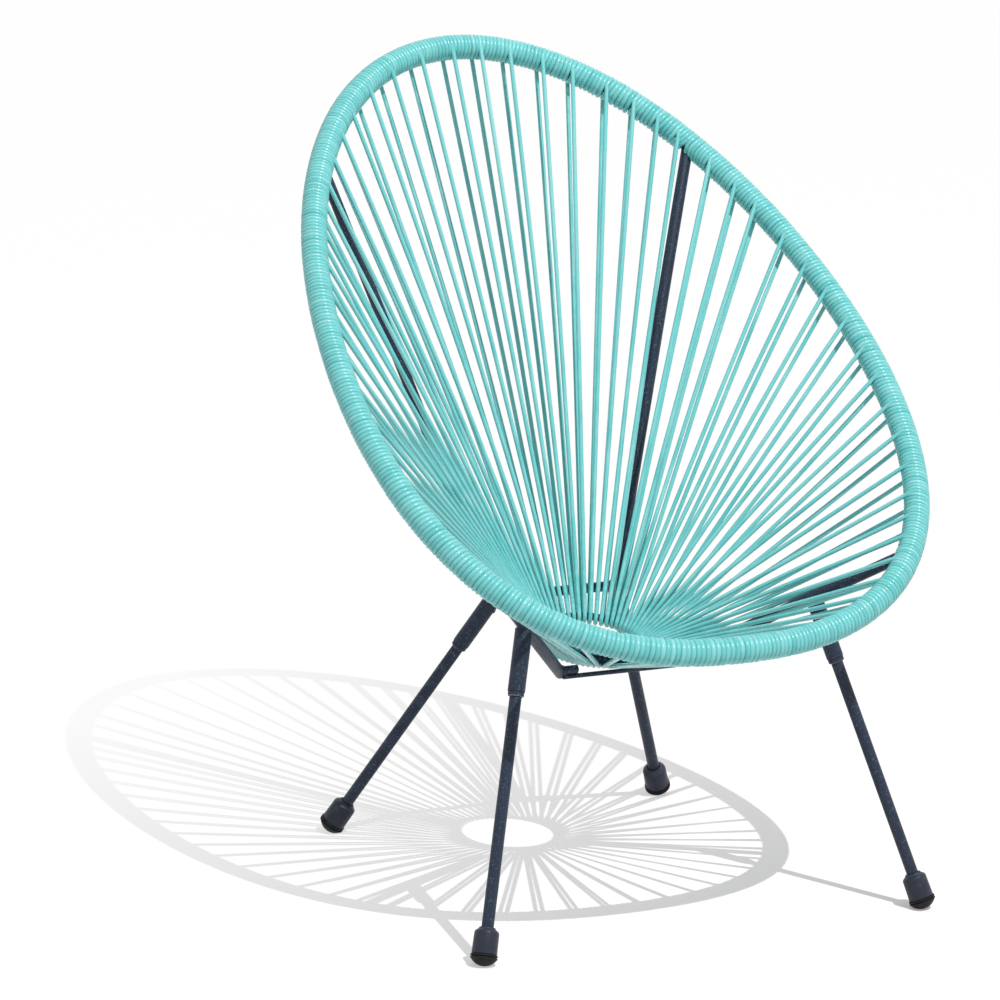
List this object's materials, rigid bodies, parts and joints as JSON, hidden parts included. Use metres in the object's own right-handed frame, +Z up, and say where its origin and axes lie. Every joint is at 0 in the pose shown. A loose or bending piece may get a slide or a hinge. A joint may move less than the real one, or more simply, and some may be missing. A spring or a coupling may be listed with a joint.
{
  "type": "acapulco lounge chair",
  "caption": "Low lounge chair with a round cord-laced bucket seat on a wound steel hoop, a small centre ring, four ribs and splayed screw-in legs.",
  "frame": {"origin": "middle of the chair's outline, on the floor between the four feet", "axes": "+Z up, -Y towards the front of the seat, +X to the sitter's left, so left and right in the node names are as seen from the front"},
  "size_m": [0.7212, 0.7644, 0.9232],
  "materials": {
    "cord": "turquoise PVC cord, smooth and slightly glossy",
    "steel": "dark blue-grey powder coat, fine texture, satin",
    "cap": "moulded dark blue-grey plastic, satin",
    "glide": "near-black rubber, matt"
  },
  "bodies": {
    "root": {"centre_ring": "steel", "foot_cap_front_left": "cap", "foot_cap_front_right": "cap", "foot_cap_rear_left": "cap", "foot_cap_rear_right": "cap", "foot_glide_front_left": "glide", "foot_glide_front_right": "glide", "foot_glide_rear_left": "glide", "foot_glide_rear_right": "glide", "leg_collar_front_left": "steel", "leg_collar_front_right": "steel", "leg_collar_rear_left": "steel", "leg_collar_rear_right": "steel", "leg_front_left": "steel", "leg_front_right": "steel", "leg_rear_left": "steel", "leg_rear_right": "steel", "leg_socket_front_left": "steel", "leg_socket_front_right": "steel", "leg_socket_rear_left": "steel", "leg_socket_rear_right": "steel", "rib_front_left": "steel", "rib_front_right": "steel", "rib_rear_left": "steel", "rib_rear_right": "steel", "rib_return_front_left": "steel", "rib_return_front_right": "steel", "rim_hoop": "steel", "seat_cord_01": "cord", "seat_cord_02": "cord", "seat_cord_03": "cord", "seat_cord_04": "cord", "seat_cord_05": "cord", "seat_cord_06": "cord", "seat_cord_07": "cord", "seat_cord_08": "cord", "seat_cord_09": "cord", "seat_cord_10": "cord", "seat_cord_11": "cord", "seat_cord_12": "cord", "tie_rear": "steel", "tie_rod_front": "steel"}
  },
  "joints": []
}
